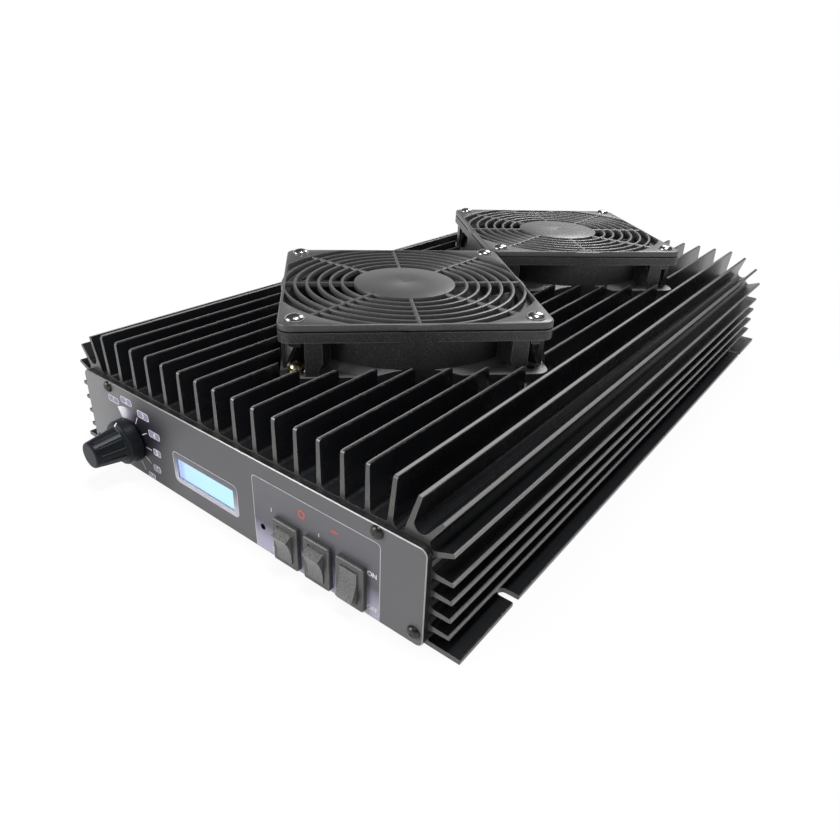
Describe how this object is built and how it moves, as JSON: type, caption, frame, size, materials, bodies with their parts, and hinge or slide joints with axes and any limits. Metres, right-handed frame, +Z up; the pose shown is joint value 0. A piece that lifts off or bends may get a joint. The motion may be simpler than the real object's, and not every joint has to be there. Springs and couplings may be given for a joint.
{
  "type": "hf linear amplifier",
  "caption": "Mobile radio-frequency power amplifier in a finned aluminium case, with top-mounted cooling fans, a band knob, a backlit display and rocker switches on its front panel.",
  "frame": {"origin": "under the middle of the whole amplifier's box, in the plane of the case's underside, where it rests", "axes": "+X to the right seen from the front panel, +Y from the front panel to the rear, +Z up"},
  "size_m": [0.2366, 0.4384, 0.0865],
  "materials": {
    "black_anodised": "black anodised, matte",
    "black_paint": "black paint, fine texture",
    "black_steel": "black zinc, satin",
    "panel_metal": "anodised and printed, satin",
    "clear_window": "clear, polished",
    "display_glass": "backlit blue, polished",
    "tinned_steel": "tinned",
    "circuit_board": "green solder mask",
    "brass": "turned",
    "black_plastic": "moulded, matte",
    "zinc_steel": "zinc plated",
    "nickel_plate": "nickel plated",
    "knob_plastic": "moulded, fine grain",
    "switch_plastic": "moulded, satin",
    "rocker_plastic": "moulded, grained",
    "ceramic_package": "package on a nickelled flange",
    "ferrite": "ferrite, dull",
    "capacitor_sleeve": "sleeved",
    "copper_winding": "enamelled wire",
    "relay_plastic": "moulded",
    "rubber": "soft, matte",
    "fan_frame_metal": "black, cast grain",
    "fan_plastic": "moulded, satin",
    "guard_plastic": "moulded, satin",
    "bright_steel": "bright plated"
  },
  "bodies": {
    "chassis": {"heatsink": "black_anodised", "bottom_cover": "black_paint", "bottom_cover_screws": "black_steel", "front_panel": "panel_metal", "front_panel_screws": "black_steel", "rear_panel": "black_paint", "rear_panel_screws": "black_steel", "lcd_window": "clear_window", "lcd_glass": "display_glass", "lcd_module": "tinned_steel", "control_board": "circuit_board", "control_board_spacers": "brass", "set_switch": "black_plastic", "band_switch": "zinc_steel", "band_switch_nut": "nickel_plate", "left_switch_housing": "switch_plastic", "middle_switch_housing": "switch_plastic", "right_switch_housing": "switch_plastic", "power_board": "circuit_board", "filter_board": "circuit_board", "board_spacers": "brass", "board_screws": "zinc_steel", "rf_transistors": "ceramic_package", "transistor_screws": "zinc_steel", "input_transformer": "ferrite", "output_transformer": "ferrite", "supply_capacitors": "capacitor_sleeve", "supply_choke": "copper_winding", "filter_coils": "copper_winding", "filter_relays": "relay_plastic", "rf_input_socket": "nickel_plate", "rf_output_socket": "nickel_plate", "socket_screws": "zinc_steel", "keying_jack": "nickel_plate", "keying_jack_nut": "nickel_plate", "power_lead_grommet": "rubber", "ground_terminal": "zinc_steel", "ground_nuts": "brass", "front_fan_frame": "fan_frame_metal", "rear_fan_frame": "fan_frame_metal", "front_fan_stator": "copper_winding", "rear_fan_stator": "copper_winding", "front_fan_guard": "guard_plastic", "rear_fan_guard": "guard_plastic", "fan_guard_screws": "bright_steel", "fan_guard_nuts": "black_steel", "fan_mount_screws": "zinc_steel", "fan_spacers": "zinc_steel"},
    "band_knob": {"band_knob": "knob_plastic", "band_switch_shaft": "zinc_steel", "knob_grub_screw": "zinc_steel"},
    "left_rocker": {"left_rocker": "rocker_plastic"},
    "middle_rocker": {"middle_rocker": "rocker_plastic"},
    "right_rocker": {"right_rocker": "rocker_plastic"},
    "set_button": {"set_button": "black_plastic"},
    "front_fan_rotor": {"front_fan_rotor": "fan_plastic"},
    "rear_fan_rotor": {"rear_fan_rotor": "fan_plastic"}
  },
  "joints": [
    {"name": "band_knob_turn", "type": "hinge", "parent": "chassis", "child": "band_knob", "pos_m": [-0.07, -0.19525, 0.0176], "axis": [0, -1, 0], "range_deg": [-150, 30]},
    {"name": "left_rocker_tip", "type": "hinge", "parent": "chassis", "child": "left_rocker", "pos_m": [0.0379, -0.19765, 0.0123], "axis": [1, 0, 0], "range_deg": [-27, 0]},
    {"name": "middle_rocker_tip", "type": "hinge", "parent": "chassis", "child": "middle_rocker", "pos_m": [0.0549, -0.19765, 0.0123], "axis": [1, 0, 0], "range_deg": [-27, 0]},
    {"name": "right_rocker_tip", "type": "hinge", "parent": "chassis", "child": "right_rocker", "pos_m": [0.0719, -0.19765, 0.0123], "axis": [1, 0, 0], "range_deg": [0, 27]},
    {"name": "set_button_press", "type": "slide", "parent": "chassis", "child": "set_button", "axis": [0, 1, 0], "range_m": [0, 0.0005], "stiffness_N_per_m": 400, "springref_m": -0.0005},
    {"name": "front_fan_spin", "type": "hinge", "parent": "chassis", "child": "front_fan_rotor", "pos_m": [0, -0.08108, 0.068], "axis": [0, 0, 1], "continuous": true},
    {"name": "rear_fan_spin", "type": "hinge", "parent": "chassis", "child": "rear_fan_rotor", "pos_m": [0, 0.08535, 0.068], "axis": [0, 0, 1], "continuous": true}
  ]
}
